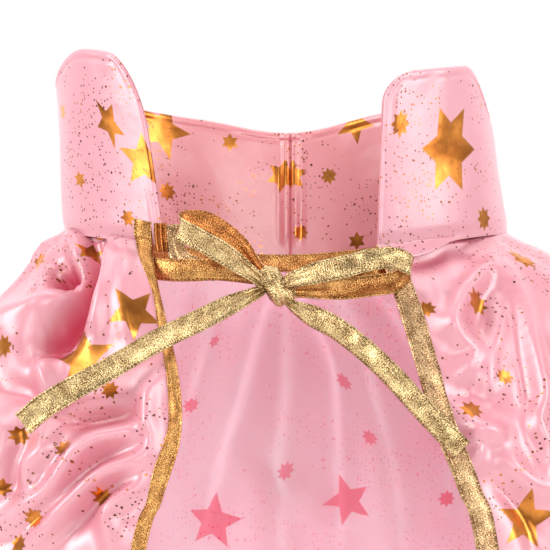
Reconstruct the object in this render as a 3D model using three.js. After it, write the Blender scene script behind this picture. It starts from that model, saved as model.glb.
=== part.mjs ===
// A child's satin cape with a stiffened stand-up collar, gold tape bindings and a ribbon bow.
// Millimetres, +Z up, the wearer faces -Y and +X is the viewer's right.
// The origin is the centre of the neckline, level with the neck seam at the centre back.
import * as THREE from "three";

// Driving dimensions. Angles go round the neck from the centre back, negative to the viewer's left.
const NECK = { leftHalf: 99, rightHalf: 110, halfDepth: 65, sideRise: 13, backSeam: 4 };
const LENGTH = 650; // neck seam to hem, down the cloth
const SIDE_EXTRA = 45; // longer cut over the shoulders, so that the hem hangs level
const SATIN = 0.6; // modelled thickness of a cloth layer
const STIFFENER = 1.0;
const GAP = 0.3; // between pieces that touch
const TAPE_WIDTH = 10;
const TAPE = 0.6; // modelled thickness of the gold tape
const TAPE_GAP = 0.8; // either side of a cloth edge inside its folded tape
const RIBBON = 0.8;
const SHOULDER_SEAM = 90; // the shoulder seams lie on the sides of the neck

const rad = THREE.MathUtils.degToRad;
const smooth = THREE.MathUtils.smoothstep;
const mix = THREE.MathUtils.lerp;

// ---------------------------------------------------------------- small tools

// Smooth curve through [place, value] pairs, flat at each pair
function through(pairs, at) {
  if (at <= pairs[0][0]) return pairs[0][1];
  for (let i = 1; i < pairs.length; i++) {
    const [x0, y0] = pairs[i - 1];
    const [x1, y1] = pairs[i];
    if (at <= x1) return mix(y0, y1, smooth(at, x0, x1));
  }
  return pairs[pairs.length - 1][1];
}

function steps(from, to, count) {
  return Array.from({ length: count + 1 }, (_, i) => mix(from, to, i / count));
}

// Closed geometry from vertices and quads, with its faces turned outward
function closedGeometry(points, quads) {
  const index = [];
  quads.forEach(([a, b, c, d]) => index.push(a, b, c, a, c, d));
  let volume = 0;
  for (let i = 0; i < index.length; i += 3) {
    const [p, q, r] = [points[index[i]], points[index[i + 1]], points[index[i + 2]]];
    volume += p.dot(q.clone().cross(r)) / 6;
  }
  if (volume < 0) index.reverse();
  const geometry = new THREE.BufferGeometry();
  const numbers = points.flatMap((p) => p.toArray());
  geometry.setAttribute("position", new THREE.Float32BufferAttribute(numbers, 3));
  geometry.setIndex(index);
  geometry.computeVertexNormals();
  return geometry;
}

// Unit normal of surface(u, v), pointing away from the wearer
function normalOf(surface, u, v) {
  const d = 1e-3;
  const across = surface(u + d, v).sub(surface(u - d, v));
  const down = surface(u, v + d).sub(surface(u, v - d));
  return across.cross(down).normalize();
}

// A cloth layer between two offsets from a surface, over a grid of parameters
function layer(surface, us, vs, inside, outside) {
  const points = [];
  const quads = [];
  const sides = [inside, outside];
  const at = (side, i, j) => (side * us.length + i) * vs.length + j;
  sides.forEach((offset) => {
    us.forEach((u) => {
      vs.forEach((v) => {
        points.push(surface(u, v).addScaledVector(normalOf(surface, u, v), offset));
      });
    });
  });
  const lastU = us.length - 1;
  const lastV = vs.length - 1;
  for (let i = 0; i < lastU; i++) {
    for (let j = 0; j < lastV; j++) {
      quads.push([at(0, i, j), at(0, i + 1, j), at(0, i + 1, j + 1), at(0, i, j + 1)]);
      quads.push([at(1, i, j), at(1, i, j + 1), at(1, i + 1, j + 1), at(1, i + 1, j)]);
    }
  }
  for (let i = 0; i < lastU; i++) {
    quads.push([at(0, i, 0), at(1, i, 0), at(1, i + 1, 0), at(0, i + 1, 0)]);
    quads.push([at(0, i, lastV), at(0, i + 1, lastV), at(1, i + 1, lastV), at(1, i, lastV)]);
  }
  for (let j = 0; j < lastV; j++) {
    quads.push([at(0, 0, j), at(0, 0, j + 1), at(1, 0, j + 1), at(1, 0, j)]);
    quads.push([at(0, lastU, j), at(1, lastU, j), at(1, lastU, j + 1), at(0, lastU, j + 1)]);
  }
  return closedGeometry(points, quads);
}

// A section swept through stations, each with a centre and two directions, open at both ends
function sweep(section, stations) {
  const points = [];
  const quads = [];
  const n = section.length;
  stations.forEach(({ centre, across, out, scale = 1 }) => {
    section.forEach(([s, h]) => {
      points.push(centre.clone().addScaledVector(across, s * scale).addScaledVector(out, h));
    });
  });
  for (let k = 0; k < stations.length - 1; k++) {
    for (let i = 0; i < n; i++) {
      const j = (i + 1) % n;
      quads.push([k * n + i, k * n + j, (k + 1) * n + j, (k + 1) * n + i]);
    }
  }
  return { points, quads };
}

// ---------------------------------------------------------------- neckline and collar

const neckHalf = (angle) => (angle < 0 ? NECK.leftHalf : NECK.rightHalf);

function neckline(angle) {
  const a = rad(angle);
  return new THREE.Vector3(
    neckHalf(angle) * Math.sin(a),
    NECK.halfDepth * Math.cos(a),
    NECK.sideRise * Math.sin(a) ** 2,
  );
}

function outward(angle, halfWidth, halfDepth) {
  const a = rad(angle);
  return new THREE.Vector3(Math.sin(a) / halfWidth, Math.cos(a) / halfDepth, 0).normalize();
}

// Height of the collar's top edge and its outward lean, by angle
const LEFT_HEIGHT = [[-150, 84], [-120, 86.5], [-88, 72.5], [-22, 74]];
const RIGHT_HEIGHT = [[29, 75], [104, 57], [126, 79], [155, 76]];
const COLLAR_HEIGHT = [...LEFT_HEIGHT, [NECK.backSeam, 69.5], ...RIGHT_HEIGHT];
const COLLAR_LEAN = [[-150, 3], [-90, 4.5], [NECK.backSeam, 4], [90, -9], [155, 3]];
const LOBES = {
  left: { front: 150, slant: 9, round: 11, roundFrom: 0.6 },
  right: { front: 155, slant: 1.2, round: 7, roundFrom: 0.84 },
};

// Angle of a lobe's front edge at height share t: slanted, then rounded off to the top
function lobeEdge(lobe, t) {
  const rise = Math.max(0, (t - lobe.roundFrom) / (1 - lobe.roundFrom));
  return lobe.front - lobe.slant * t - lobe.round * (1 - Math.sqrt(1 - Math.min(rise, 1) ** 2));
}

function collarPoint(angle, t) {
  const point = neckline(angle);
  const lean = through(COLLAR_LEAN, angle) * t;
  point.addScaledVector(outward(angle, neckHalf(angle), NECK.halfDepth), lean);
  point.z += through(COLLAR_HEIGHT, angle) * t;
  return point;
}

const SEAM_HALF = 0.1; // degrees either side of a seam, which leaves a gap of about 0.3 mm

// u runs from the centre back (0) to the front edge (1), t from the neck seam to the top
function collarHalf(side) {
  const sign = side === "left" ? -1 : 1;
  const seam = NECK.backSeam + sign * SEAM_HALF;
  return (u, t) => collarPoint(mix(seam, sign * lobeEdge(LOBES[side], t), u), t);
}

const COLLAR_US = [0, 0.02, ...steps(0.1, 0.9, 10), 0.975, 1];
const COLLAR_TS = [0, 0.05, 0.14, 0.35, 0.55, 0.7, 0.84, 0.94, 1];

// The pieces of one collar half: outer satin, stiffener and inner satin, from the outside in
function collarPieces(side) {
  const half = collarHalf(side);
  const sign = side === "left" ? 1 : -1; // turns the layers' offsets away from the wearer
  const core = STIFFENER / 2;
  const satin = core + GAP;
  const build = (us, ts, from, to) => layer(half, us, ts, sign * from, sign * to);
  return {
    outer: build(COLLAR_US, COLLAR_TS, satin, satin + SATIN),
    stiffener: build(COLLAR_US.slice(1, -1), COLLAR_TS.slice(1, -1), -core, core),
    inner: build(COLLAR_US, COLLAR_TS, -satin - SATIN, -satin),
  };
}

// ---------------------------------------------------------------- hanging cloth

// How fast the cloth spreads sideways and front to back as it comes down from the neck
const sideSlope = (angle, v) => mix(angle < 0 ? 0.72 : 0.84, 0.08, smooth(v, 50, 175));
const depthSlope = (v) => mix(0.35, 0.1, smooth(v, 40, 150));

const FOLDS = [{ count: 9, phase: 0.4, depth: 9 }, { count: 14, phase: 2.1, depth: 5 }];

function foldDepth(angle, v) {
  const a = rad(angle);
  const grown = smooth(v, 60, 520);
  return FOLDS.reduce((sum, f) => sum + f.depth * Math.sin(f.count * a + f.phase), 0) * grown;
}

// Point of the cloth v millimetres below the neck seam. Its slope keeps its length true.
function clothPoint(angle, v) {
  const a = rad(angle);
  const stride = 5;
  let halfWidth = neckHalf(angle);
  let halfDepth = NECK.halfDepth;
  let z = NECK.sideRise * Math.sin(a) ** 2;
  for (let done = 0; done < v; done += stride) {
    const run = Math.min(stride, v - done);
    const side = sideSlope(angle, done + run / 2);
    const depth = depthSlope(done + run / 2);
    halfWidth += side * run;
    halfDepth += depth * run;
    z -= run * Math.sqrt(1 - (side * Math.sin(a)) ** 2 - (depth * Math.cos(a)) ** 2);
  }
  const point = new THREE.Vector3(halfWidth * Math.sin(a), halfDepth * Math.cos(a), z);
  return point.addScaledVector(outward(angle, halfWidth, halfDepth), foldDepth(angle, v));
}

// Angle of the front edges down the cloth
const FRONT_EDGES = {
  left: [[0, 149], [57, 162.2], [90, 166.2], [121, 163], [150, 161.2], [300, 158]],
  right: [[0, 155], [60, 157], [150, 153.3], [300, 152]],
};

const clothLength = (angle) => LENGTH + SIDE_EXTRA * Math.sin(rad(angle)) ** 2;
const NECK_ALLOWANCE = 1.5; // the cloth starts this far below the seam
const EDGE_CELL = 12; // flat strip along a bound edge, wide enough for the tape
const CLOTH_WS = [0, 0.03, 0.06, 0.1, 0.14, 0.18, 0.23, 0.29, 0.37, 0.47, 0.58, 0.69, 0.8, 0.9];
const CLOTH_VS = [...CLOTH_WS.map((w) => NECK_ALLOWANCE + w * LENGTH), LENGTH - EDGE_CELL, LENGTH];

// Stretches the down-the-cloth coordinate so that every column ends at the hem
function downCloth(angle, v) {
  return v * (clothLength(angle) / LENGTH);
}

// u runs along a front panel in cells, 0 at the bound edge and 1 one tape strip further in
function frontPanel(side) {
  const sign = side === "left" ? -1 : 1;
  return (u, v) => {
    const edge = through(FRONT_EDGES[side], v);
    const spread = clothPoint(edge - 1, v).distanceTo(clothPoint(edge, v));
    const strip = edge - EDGE_CELL / spread;
    const angle = u <= 1 ? mix(edge, strip, u) : mix(strip, SHOULDER_SEAM + SEAM_HALF, u - 1);
    return clothPoint(sign * angle, downCloth(angle, v));
  };
}

const backPanel = (angle, v) => clothPoint(angle, downCloth(angle, v));

const cloth = (surface, us) => layer(surface, us, CLOTH_VS, -SATIN / 2, SATIN / 2);

const FRONT_US = [0, 1, ...steps(1, 2, 11).slice(1)];
const BACK_US = steps(-SHOULDER_SEAM + SEAM_HALF, SHOULDER_SEAM - SEAM_HALF, 26);

// ---------------------------------------------------------------- gold tape

// Folded tape round a cloth edge: s runs into the cloth, h through it
const TAPE_INSIDE = SATIN / 2 + TAPE_GAP;
const TAPE_OUTSIDE = TAPE_INSIDE + TAPE;
const FOLDED_TAPE = [
  [-GAP - TAPE, -TAPE_OUTSIDE],
  [TAPE_WIDTH, -TAPE_OUTSIDE],
  [TAPE_WIDTH, -TAPE_INSIDE],
  [-GAP, -TAPE_INSIDE],
  [-GAP, TAPE_INSIDE],
  [TAPE_WIDTH, TAPE_INSIDE],
  [TAPE_WIDTH, TAPE_OUTSIDE],
  [-GAP - TAPE, TAPE_OUTSIDE],
];

// Ends of the folded section, as three quads that meet without overlapping
const FOLDED_END = [[0, 1, 2, 3], [0, 3, 4, 7], [4, 5, 6, 7]];
const FLAT_END = [[0, 1, 2, 3]];

function sweptSolid(section, stations, end) {
  const { points, quads } = sweep(section, stations);
  const last = (stations.length - 1) * section.length;
  end.forEach((face) => {
    quads.push([...face].reverse());
    quads.push(face.map((i) => last + i));
  });
  return closedGeometry(points, quads);
}

function frontBinding(side) {
  const panel = frontPanel(side);
  const stations = CLOTH_VS.slice(0, -1).map((v, i) => {
    const down = i === CLOTH_VS.length - 2 ? v - GAP : v;
    const centre = panel(0, down);
    const across = panel(1, down).sub(centre).normalize();
    const out = normalOf(panel, 0, down).add(normalOf(panel, 1, down));
    return { centre, across, out: out.addScaledVector(across, -out.dot(across)).normalize() };
  });
  return sweptSolid(FOLDED_TAPE, stations, FOLDED_END);
}

// Stations round the hem, from the left front edge to the right one
function hemStations() {
  const rows = [LENGTH, LENGTH - EDGE_CELL];
  const left = FRONT_US.map((u) => rows.map((v) => frontPanel("left")(u, v)));
  const back = BACK_US.map((angle) => rows.map((v) => backPanel(angle, v)));
  const right = FRONT_US.map((u) => rows.map((v) => frontPanel("right")(u, v))).reverse();
  const columns = [...left.slice(0, -1), ...back, ...right.slice(1)];
  return columns.map(([hem, above], i) => {
    const before = columns[Math.max(0, i - 1)][0];
    const after = columns[Math.min(columns.length - 1, i + 1)][0];
    const along = after.clone().sub(before).normalize();
    const across = above.clone().sub(hem).normalize();
    return { centre: hem, across, out: across.clone().cross(along).normalize() };
  });
}

// Flat tape inside the collar over the neck seam
function neckTape() {
  const surface = (u, t) => {
    const side = u < 0 ? "left" : "right";
    return collarHalf(side)(Math.abs(u), t);
  };
  const leftUs = COLLAR_US.slice(1).reverse().map((u) => -u);
  const us = [...leftUs, ...COLLAR_US.slice(1)];
  const ts = COLLAR_TS.slice(0, 3);
  const inside = STIFFENER / 2 + GAP + SATIN + GAP;
  return layer(surface, us, ts, inside, inside + TAPE);
}

// ---------------------------------------------------------------- bow

const FLAT_RIBBON = [
  [-TAPE_WIDTH / 2, -RIBBON / 2],
  [TAPE_WIDTH / 2, -RIBBON / 2],
  [TAPE_WIDTH / 2, RIBBON / 2],
  [-TAPE_WIDTH / 2, RIBBON / 2],
];

// A ribbon through a route of centres, each with the direction across it and a share of its width
function ribbon(route, count) {
  const centres = new THREE.CatmullRomCurve3(route.map((r) => new THREE.Vector3(...r.at)));
  const sides = new THREE.CatmullRomCurve3(route.map((r) => new THREE.Vector3(...r.across)));
  const scales = route.map((r, i) => [i / (route.length - 1), r.width ?? 1]);
  const stations = steps(0, 1, count).map((t) => {
    const tangent = centres.getTangent(t);
    const across = sides.getPoint(t).normalize();
    across.addScaledVector(tangent, -across.dot(tangent)).normalize();
    const out = tangent.clone().cross(across).normalize();
    return { centre: centres.getPoint(t), across, out, scale: through(scales, t) };
  });
  return sweptSolid(FLAT_RIBBON, stations, FLAT_END);
}

const UP = [0, 0, 1];
const KNOT = { centre: [0, -70, -17], width: 12.5, height: 20, depth: 9, tilt: -12 };

const LEFT_STRAP = [
  { at: [-45, -63, -9.5], across: UP },
  { at: [-37, -64, -10.5], across: UP },
  { at: [-25, -65, -12], across: UP },
  { at: [-9.4, -66.5, -14], across: UP, width: 0.8 },
];
const RIGHT_STRAP = [
  { at: [45.5, -63, -9], across: UP },
  { at: [37, -64.5, -14], across: UP },
  { at: [24, -65.5, -17], across: UP },
  { at: [8.6, -66.5, -18], across: UP, width: 0.8 },
];
const LEFT_LOOP = [
  { at: [-9.4, -75, -13.5], across: UP, width: 0.5 },
  { at: [-22, -79, -4], across: [0.25, 0.1, 1] },
  { at: [-36, -80, 3.5], across: [0.3, 0.3, 1] },
  { at: [-43.5, -76, 8], across: [0.35, 0.2, 1] },
  { at: [-40, -71.5, 11], across: [0.3, 0.2, 1] },
  { at: [-26, -70, 9.5], across: [0.3, 0.2, 1] },
  { at: [-9.4, -71, -9], across: UP, width: 0.5 },
];
const RIGHT_LOOP = [
  { at: [8.6, -75, -14], across: UP, width: 0.5 },
  { at: [30, -81, -9.5], across: [-0.1, -0.2, 1] },
  { at: [50, -82, -5], across: [0.1, -0.2, 1] },
  { at: [59.5, -77.5, -9.5], across: [0.1, -0.1, 1] },
  { at: [53, -73, -15.5], across: [0.1, 0, 1] },
  { at: [30, -72, -18.5], across: [0.1, 0, 1] },
  { at: [8.6, -71.5, -19], across: UP, width: 0.5 },
];
const LEFT_TAIL = [
  { at: [-8.8, -73, -20], across: UP, width: 0.3 },
  { at: [-20.5, -75, -24], across: UP },
  { at: [-34, -77, -31], across: UP },
  { at: [-52, -85, -40], across: UP },
  { at: [-70.5, -90.5, -49], across: UP },
  { at: [-88.5, -92, -60], across: UP },
  { at: [-104.5, -91, -70.5], across: UP },
  { at: [-115, -89, -79.5], across: UP },
];
const RIGHT_TAIL = [
  { at: [7.5, -74.5, -28.5], across: UP, width: 0.3 },
  { at: [17, -76, -31], across: UP },
  { at: [29.5, -80, -36.5], across: UP },
  { at: [47.5, -87, -52], across: UP },
  { at: [66, -93, -73], across: UP },
  { at: [82, -97, -91], across: UP },
];

function knot() {
  const { width, height, depth } = KNOT;
  const corner = 3;
  const outline = new THREE.Shape();
  const [w, h] = [width / 2, height / 2];
  outline.moveTo(-w + corner, -h);
  outline.lineTo(w - corner, -h);
  outline.quadraticCurveTo(w, -h, w, -h + corner);
  outline.lineTo(w, h - corner);
  outline.quadraticCurveTo(w, h, w - corner, h);
  outline.lineTo(-w + corner, h);
  outline.quadraticCurveTo(-w, h, -w, h - corner);
  outline.lineTo(-w, -h + corner);
  outline.quadraticCurveTo(-w, -h, -w + corner, -h);
  const geometry = new THREE.ExtrudeGeometry(outline, { depth, bevelEnabled: false, curveSegments: 4 });
  return geometry.translate(0, 0, -depth / 2).rotateX(Math.PI / 2);
}

// ---------------------------------------------------------------- assembly

const material = (color, roughness, metalness) =>
  new THREE.MeshStandardMaterial({ color, roughness, metalness, side: THREE.DoubleSide });
const SATIN_FINISH = [0xf0a0bc, 0.35, 0];
const LINING_FINISH = [0xf098a8, 0.5, 0];
const CORE_FINISH = [0xf4f0ea, 0.9, 0];
const GOLD_FINISH = [0xc89a4a, 0.32, 0.9];

const cape = new THREE.Group();

function add(name, geometry, finish) {
  const mesh = new THREE.Mesh(geometry, material(...finish));
  mesh.name = name;
  cape.add(mesh);
  return mesh;
}

for (const side of ["left", "right"]) {
  const { outer, stiffener, inner } = collarPieces(side);
  add(`${side}_collar_outer`, outer, SATIN_FINISH);
  add(`${side}_collar_stiffener`, stiffener, CORE_FINISH);
  add(`${side}_collar_inner`, inner, LINING_FINISH);
  add(`${side}_front_panel`, cloth(frontPanel(side), FRONT_US), SATIN_FINISH);
  add(`${side}_front_binding`, frontBinding(side), GOLD_FINISH);
}
add("back_panel", cloth(backPanel, BACK_US), SATIN_FINISH);
add("hem_binding", sweptSolid(FOLDED_TAPE, hemStations(), FOLDED_END), GOLD_FINISH);
add("neck_tape", neckTape(), GOLD_FINISH);
add("left_tie_strap", ribbon(LEFT_STRAP, 10), GOLD_FINISH);
add("right_tie_strap", ribbon(RIGHT_STRAP, 10), GOLD_FINISH);
add("left_bow_loop", ribbon(LEFT_LOOP, 24), GOLD_FINISH);
add("right_bow_loop", ribbon(RIGHT_LOOP, 24), GOLD_FINISH);
add("left_bow_tail", ribbon(LEFT_TAIL, 20), GOLD_FINISH);
add("right_bow_tail", ribbon(RIGHT_TAIL, 16), GOLD_FINISH);
const bowKnot = add("bow_knot", knot(), GOLD_FINISH);
bowKnot.position.set(...KNOT.centre);
bowKnot.rotation.y = rad(KNOT.tilt);

export default cape;
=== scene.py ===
"""A child's satin cape: foil star print, stiffened stand-up collar, gold tape edges and a ribbon bow.

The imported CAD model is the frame. Shapes are worked out in millimetres in the frame's axes, +Z up and
the wearer facing -Y, and turned into metres when a mesh is made.
"""

import math

import bpy
import numpy as np
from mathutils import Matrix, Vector


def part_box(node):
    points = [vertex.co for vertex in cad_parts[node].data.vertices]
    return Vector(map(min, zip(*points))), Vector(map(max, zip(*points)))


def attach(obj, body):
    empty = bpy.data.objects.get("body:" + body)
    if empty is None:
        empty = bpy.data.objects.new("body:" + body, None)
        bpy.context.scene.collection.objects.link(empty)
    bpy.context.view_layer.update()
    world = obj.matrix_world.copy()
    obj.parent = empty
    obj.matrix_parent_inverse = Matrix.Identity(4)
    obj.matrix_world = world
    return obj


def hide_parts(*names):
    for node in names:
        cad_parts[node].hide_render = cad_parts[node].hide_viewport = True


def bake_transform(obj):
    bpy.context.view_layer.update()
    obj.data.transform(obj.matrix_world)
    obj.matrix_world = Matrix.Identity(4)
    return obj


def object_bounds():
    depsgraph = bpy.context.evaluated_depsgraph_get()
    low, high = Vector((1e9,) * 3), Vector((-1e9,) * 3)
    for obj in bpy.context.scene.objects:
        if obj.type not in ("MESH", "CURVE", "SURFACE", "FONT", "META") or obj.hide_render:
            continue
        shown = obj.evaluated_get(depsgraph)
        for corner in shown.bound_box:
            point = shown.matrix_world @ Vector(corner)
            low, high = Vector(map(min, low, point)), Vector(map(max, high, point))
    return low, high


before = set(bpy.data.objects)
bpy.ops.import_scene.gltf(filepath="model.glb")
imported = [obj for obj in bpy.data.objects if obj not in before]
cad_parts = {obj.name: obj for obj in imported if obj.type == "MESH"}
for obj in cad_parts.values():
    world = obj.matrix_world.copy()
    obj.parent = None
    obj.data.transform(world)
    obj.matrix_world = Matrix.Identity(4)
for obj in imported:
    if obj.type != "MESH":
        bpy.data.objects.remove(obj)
CAD_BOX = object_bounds()
MM = 0.001
UP = np.array([0, 0, 1])
SIGN = {"left": -1, "right": 1}  # the viewer's left is -X

# Driving dimensions, as in the CAD model. Angles go round the neck from the centre back, negative to
# the viewer's left.
NECK_LEFT_HALF = 99
NECK_RIGHT_HALF = 110
NECK_HALF_DEPTH = 65
NECK_SIDE_RISE = 13
BACK_SEAM = 4
SHOULDER_SEAM = 90
CAPE_LENGTH = 650
SIDE_EXTRA = 45
TAPE_WIDTH = 10
SATIN_THICKNESS = 0.4
COLLAR_HALF_THICKNESS = 1.4

# The front view: what the camera looks at, from how far and how high, and how wide it sees there
VIEW_TARGET = np.array([0, -60, -11.4])
VIEW_DISTANCE = 1200
VIEW_ELEVATION = math.radians(-4)
VIEW_WIDTH = 250
VIEW_AXIS = np.array([0, math.cos(VIEW_ELEVATION), -math.sin(VIEW_ELEVATION)])
VIEW_UP = np.array([0, math.sin(VIEW_ELEVATION), math.cos(VIEW_ELEVATION)])
EYE = VIEW_TARGET - VIEW_AXIS * VIEW_DISTANCE

# -------- small tools


def smooth(x, low, high):
    t = np.clip((np.asarray(x, float) - low) / (high - low), 0, 1)
    return t * t * (3 - 2 * t)


def mix(a, b, t):
    return a + (b - a) * t


def through(pairs, at):
    """A smooth curve through (place, value) pairs, flat at each pair."""
    at = np.asarray(at, float)
    value = np.full(at.shape, float(pairs[0][1]))
    for (x0, y0), (x1, y1) in zip(pairs, pairs[1:]):
        value += (y1 - y0) * smooth(at, x0, x1)
    return value


def unit(vectors):
    length = np.linalg.norm(vectors, axis=-1, keepdims=True)
    return vectors / np.maximum(length, 1e-9)


def smooth_line(points, count):
    """A Catmull-Rom line through points, resampled at even parameter steps."""
    p = np.asarray(points, float)
    p = np.vstack([2 * p[0] - p[1], p, 2 * p[-1] - p[-2]])
    spans = len(p) - 3
    at = np.linspace(0, spans, count)
    i = np.minimum(at.astype(int), spans - 1)
    t = (at - i)[:, None]
    a, b, c, d = p[i], p[i + 1], p[i + 2], p[i + 3]
    return 0.5 * (2 * b + (c - a) * t + (2 * a - 5 * b + 4 * c - d) * t**2 + (3 * b - a - 3 * c + d) * t**3)


def spaced(count, crowd=0.0):
    """0 to 1 in count steps, closer together near both ends as crowd goes to 1."""
    t = np.linspace(0, 1, count + 1)
    return mix(t, 0.5 - 0.5 * np.cos(math.pi * t), crowd)


def front_view(points):
    """X and Z where each point shows on the upright plane through the view's target."""
    sight = points - EYE
    reach = VIEW_DISTANCE / (sight @ VIEW_AXIS)
    return np.stack([sight[..., 0] * reach, (sight @ VIEW_UP) * reach + VIEW_TARGET[2]], axis=-1)


def run_along(points):
    """Length from the start of a line, or along each row of a grid."""
    steps = np.linalg.norm(np.diff(points, axis=0), axis=-1)
    return np.concatenate([np.zeros_like(steps[:1]), np.cumsum(steps, axis=0)])


def grid_normals(points):
    along = np.gradient(points, axis=0)
    down = np.gradient(points, axis=1)
    return unit(np.cross(along, down))


def outward_normals(points):
    """Normals that all point away from the neck's axis."""
    normal = grid_normals(points)
    return normal * np.sign((normal * unit(points * [1, 1, 0])).sum(axis=-1, keepdims=True))


def grid_mesh(name, points, uvs, material, thickness=0.0, inside_material=None, facing=1, depth=None):
    """A sheet from a grid of points in millimetres, with its flat pattern in metres as its UVs.

    facing 1 turns its faces away from the neck's axis, and -1 towards it. depth is how far each point
    lies down in a fold, kept as an attribute that the satin uses to paint shade into deep folds.
    """
    columns, rows = points.shape[:2]
    index = np.arange(columns * rows).reshape(columns, rows)
    corners = [index[:-1, :-1], index[1:, :-1], index[1:, 1:], index[:-1, 1:]]
    faces = np.stack(corners, axis=-1).reshape(-1, 4)
    away = (grid_normals(points) * unit(points * [1, 1, 0])).sum()
    if away * facing < 0:
        faces = faces[:, ::-1]
    mesh = bpy.data.meshes.new(name)
    mesh.from_pydata((points.reshape(-1, 3) * MM).tolist(), [], faces.tolist())
    layer = mesh.uv_layers.new(name="pattern")
    loops = np.empty(len(mesh.loops), int)
    mesh.loops.foreach_get("vertex_index", loops)
    layer.data.foreach_set("uv", (uvs.reshape(-1, 2)[loops] * MM).astype(np.float32).ravel())
    mesh.polygons.foreach_set("use_smooth", np.ones(len(mesh.polygons), bool))
    if depth is not None:
        values = mesh.attributes.new("depth", "FLOAT", "POINT").data
        values.foreach_set("value", depth.astype(np.float32).ravel())
    obj = bpy.data.objects.new(name, mesh)
    bpy.context.scene.collection.objects.link(obj)
    mesh.materials.append(material)
    if thickness:
        solid = obj.modifiers.new("thickness", "SOLIDIFY")
        solid.thickness = thickness * MM
        solid.offset = -1
        if inside_material is not None:
            mesh.materials.append(inside_material)
            solid.material_offset = 1
    return obj


# -------- cape surface


def neck_half(angle):
    return np.where(np.asarray(angle) < 0, NECK_LEFT_HALF, NECK_RIGHT_HALF)


def neckline(angle):
    a = np.radians(angle)
    rise = NECK_SIDE_RISE * np.sin(a) ** 2
    return np.stack([neck_half(angle) * np.sin(a), NECK_HALF_DEPTH * np.cos(a), rise], axis=-1)


def outward(angle, half_width, half_depth):
    a = np.radians(angle)
    flat = np.stack([np.sin(a) / half_width, np.cos(a) / half_depth, np.zeros_like(a)], axis=-1)
    return unit(flat)


# How fast the cape spreads: at the neck on each side, and below the shoulders
LEFT_SPREAD, RIGHT_SPREAD, LOW_SPREAD = 0.72, 0.84, 0.08
NECK_DEEPENING, LOW_DEEPENING = 0.35, 0.1


def side_slope(angle, v):
    at_neck = np.where(np.asarray(angle) < 0, LEFT_SPREAD, RIGHT_SPREAD)
    return mix(at_neck, LOW_SPREAD, smooth(v, 50, 175))


def depth_slope(v):
    return mix(NECK_DEEPENING, LOW_DEEPENING, smooth(v, 40, 150))


FOLDS = [(9, 0.4, 9), (14, 2.1, 5)]  # count round the cape, phase, depth


def cloth_surface(angle, v):
    """Points v millimetres down the cloth. Its slope keeps its length true."""
    a = np.radians(angle)
    stride = 5  # length over which the slope is taken as constant
    half_width = neck_half(angle)
    half_depth = np.full(a.shape, float(NECK_HALF_DEPTH))
    z = NECK_SIDE_RISE * np.sin(a) ** 2
    for done in np.arange(0, v.max(), stride):
        run = np.clip(v - done, 0, stride)
        side = side_slope(angle, done + run / 2)
        depth = depth_slope(done + run / 2)
        half_width = half_width + side * run
        half_depth += depth * run
        z = z - run * np.sqrt(1 - (side * np.sin(a)) ** 2 - (depth * np.cos(a)) ** 2)
    points = np.stack([half_width * np.sin(a), half_depth * np.cos(a), z], axis=-1)
    fold = sum(depth * np.sin(count * a + phase) for count, phase, depth in FOLDS)
    shift = fold * smooth(v, 60, 520)
    return points + outward(angle, half_width, half_depth) * shift[..., None]


# Angle of each front edge, by distance down the cloth
FRONT_EDGES = {
    "left": [(0, 145.5), (30, 155), (60, 162), (90, 165), (120, 163.5), (150, 161.5), (300, 158)],
    "right": [(0, 155), (30, 156), (60, 157), (90, 157.5), (120, 156), (150, 154.5), (300, 152.5)],
}


def cloth_rows():
    """Distances down the cloth: close together in the gathered top, wider below it."""
    fine = np.linspace(0, 200, 101)
    coarse = np.linspace(200, CAPE_LENGTH, 66)[1:]
    return np.concatenate([fine, coarse])


def flat_pattern(smooth_points, v):
    """The flat cut: rows curve about the panel's middle column as much as the cape spreads."""
    along = run_along(smooth_points)
    along = along - along[len(along) // 2]
    spread = (side_slope(0, v) + depth_slope(v)) / 2
    girth = NECK_RIGHT_HALF / 2 + NECK_HALF_DEPTH / 2 + np.cumsum(spread * np.gradient(v))
    radius = girth / spread
    turn = along / radius
    return np.stack([radius * np.sin(turn), -v + radius - radius * np.cos(turn)], axis=-1)


CREST = 2.6  # radius of the bend along a fold, in millimetres
RELIEF = {"left": 1.6, "right": 1.15, "back": 2.1}  # how far each panel's folds stand out


def stroke_field(points, strokes):
    """How far each point is pushed out by folds drawn in the front view as (line, width, height)."""
    flat = front_view(points).reshape(-1, 2)
    total = np.zeros(len(flat))
    for line, width, height in strokes:
        path = smooth_line(line, 40)
        taper = np.sin(np.linspace(0.12, math.pi - 0.12, len(path))) ** 0.6
        gap = np.linalg.norm(flat[:, None, :] - path[None, :, :], axis=-1)
        nearest = gap.argmin(axis=1)
        distance = gap[np.arange(len(flat)), nearest]
        crest = np.sqrt(distance**2 + CREST**2) - CREST
        total += height * taper[nearest] * np.exp(-((crest / width) ** 1.35))
    return total.reshape(points.shape[:2])


def neck_gathers(s, v, count, phase, height):
    """Small soft pleats where the cloth is gathered into the neck seam."""
    grown = smooth(v, 0, 9) * (1 - smooth(v, 14, 70))
    wave = np.sin(2 * math.pi * count * s + phase) + 0.5 * np.sin(2 * math.pi * count * 1.7 * s + 2 * phase)
    return height * grown * wave


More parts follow.
